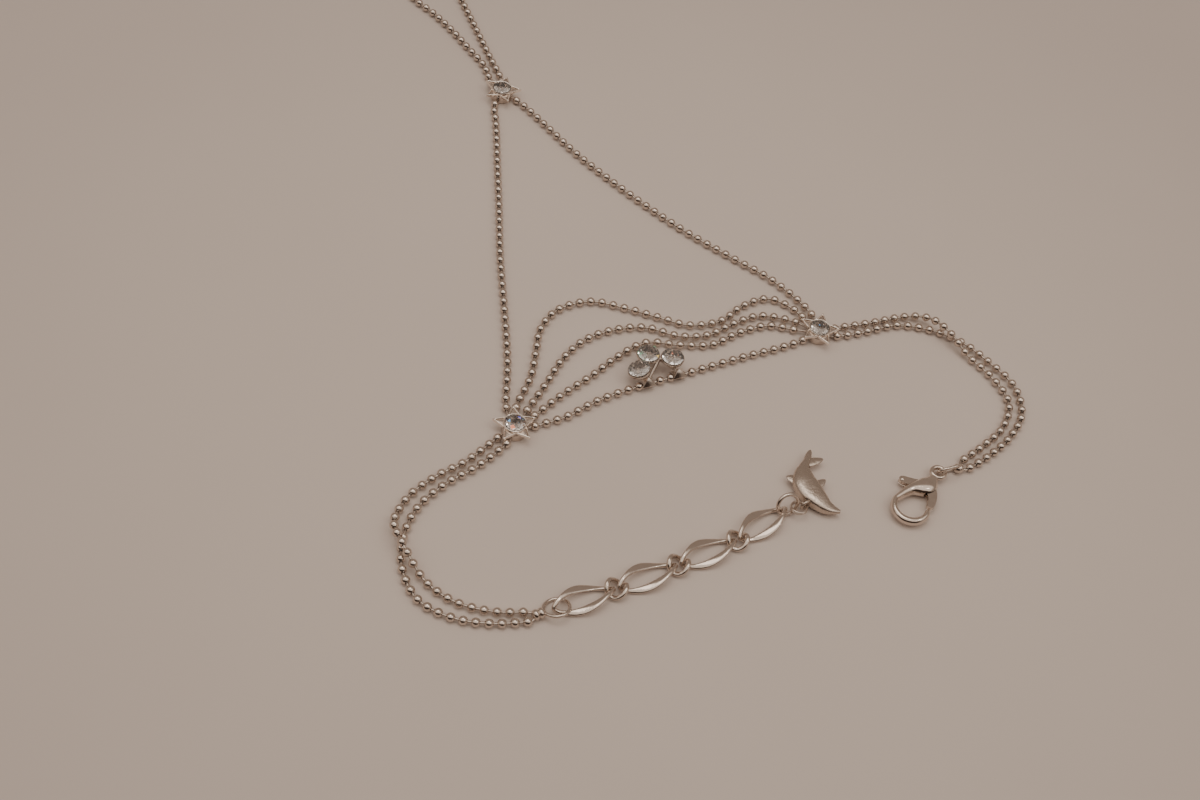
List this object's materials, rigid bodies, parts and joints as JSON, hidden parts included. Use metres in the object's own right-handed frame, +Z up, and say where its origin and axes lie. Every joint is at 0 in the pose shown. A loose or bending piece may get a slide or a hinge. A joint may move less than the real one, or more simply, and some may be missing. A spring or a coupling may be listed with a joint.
{
  "type": "hand chain bracelet",
  "caption": "Silver hand chain laid open: ball chains join crystal stars, a finger loop and an extension chain with dolphin charm and clasp.",
  "frame": {"origin": "middle of the bounding box, on the surface that the bracelet lies on", "axes": "+Z up from the surface, +Y towards the finger loop, +X towards the clasp"},
  "size_m": [0.1299, 0.1536, 0.0043],
  "materials": {
    "silver": "polished",
    "polished_silver": "mirror polished",
    "wire": "plain",
    "crystal": "faceted"
  },
  "bodies": {
    "bracelet": {"star_top": "silver", "star_left": "silver", "star_right": "silver", "crystal_top": "crystal", "crystal_left": "crystal", "crystal_right": "crystal", "cluster_setting": "silver", "cluster_crystal_1": "crystal", "cluster_crystal_2": "crystal", "cluster_crystal_3": "crystal", "hand_strand_left": "polished_silver", "hand_strand_right": "polished_silver", "garland_1": "polished_silver", "garland_2": "polished_silver", "garland_3": "polished_silver", "garland_4": "polished_silver", "hand_thread_left": "wire", "hand_thread_right": "wire", "garland_thread_1": "wire", "garland_thread_2": "wire", "garland_thread_3": "wire", "garland_thread_4": "wire", "wrist_strand_left_1": "polished_silver", "wrist_strand_left_2": "polished_silver", "wrist_strand_right_1": "polished_silver", "wrist_strand_right_2": "polished_silver", "finger_loop": "polished_silver", "end_ring_left": "silver", "end_ring_right": "silver", "long_link_1": "silver", "long_link_2": "silver", "long_link_3": "silver", "long_link_4": "silver", "small_link_1": "silver", "small_link_2": "silver", "small_link_3": "silver", "open_ring": "silver", "charm_ring": "silver", "dolphin_charm": "polished_silver", "clasp_body": "silver"},
    "lever": {"clasp_lever": "silver"}
  },
  "joints": [
    {"name": "clasp_lever_hinge", "type": "hinge", "parent": "bracelet", "child": "lever", "pos_m": [0.04806, -0.03479, 0.00125], "axis": [0, 0, -1], "range_deg": [0, 25], "stiffness_Nm_per_rad": 0.004}
  ]
}
